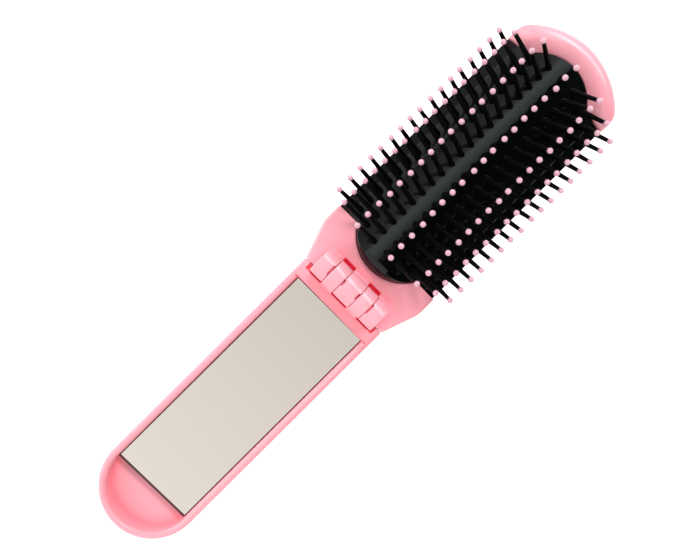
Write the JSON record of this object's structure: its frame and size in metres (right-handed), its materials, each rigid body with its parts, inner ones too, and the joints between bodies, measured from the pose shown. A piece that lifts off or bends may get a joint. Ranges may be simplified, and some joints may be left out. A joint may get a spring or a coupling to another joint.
{
  "type": "folding hairbrush",
  "caption": "Pocket hairbrush whose mirror handle folds over the arched bristle head on a five-knuckle pin hinge.",
  "frame": {"origin": "bottom centre of the open brush: middle of its length and width, on the back plane it lies on", "axes": "+X across the brush, +Y from the handle's round end to the tip of the head, +Z from the back to the bristles"},
  "size_m": [0.0446, 0.1858, 0.0226],
  "materials": {
    "pink_shell": "moulded gloss",
    "black_pad": "satin",
    "black_pins": "satin",
    "pink_tips": "dipped resin",
    "mirror": "silvered glass",
    "tape": "foam tape",
    "pin_steel": "drawn wire"
  },
  "bodies": {
    "head": {"head_shell": "pink_shell", "bristle_pad": "black_pad", "pin_row_1": "black_pins", "pin_row_2": "black_pins", "pin_row_3": "black_pins", "pin_row_4": "black_pins", "pin_row_5": "black_pins", "pin_row_6": "black_pins", "pin_row_7": "black_pins", "tip_row_1": "pink_tips", "tip_row_2": "pink_tips", "tip_row_3": "pink_tips", "tip_row_4": "pink_tips", "tip_row_5": "pink_tips", "tip_row_6": "pink_tips", "tip_row_7": "pink_tips", "hinge_pin": "pin_steel"},
    "handle": {"handle_tray": "pink_shell", "mirror_glass": "mirror", "mirror_tape": "tape"}
  },
  "joints": [
    {"name": "handle_fold", "type": "hinge", "parent": "head", "child": "handle", "pos_m": [0, -0.0003, 0.0148], "axis": [-1, 0, 0], "range_deg": [0, 180]}
  ]
}
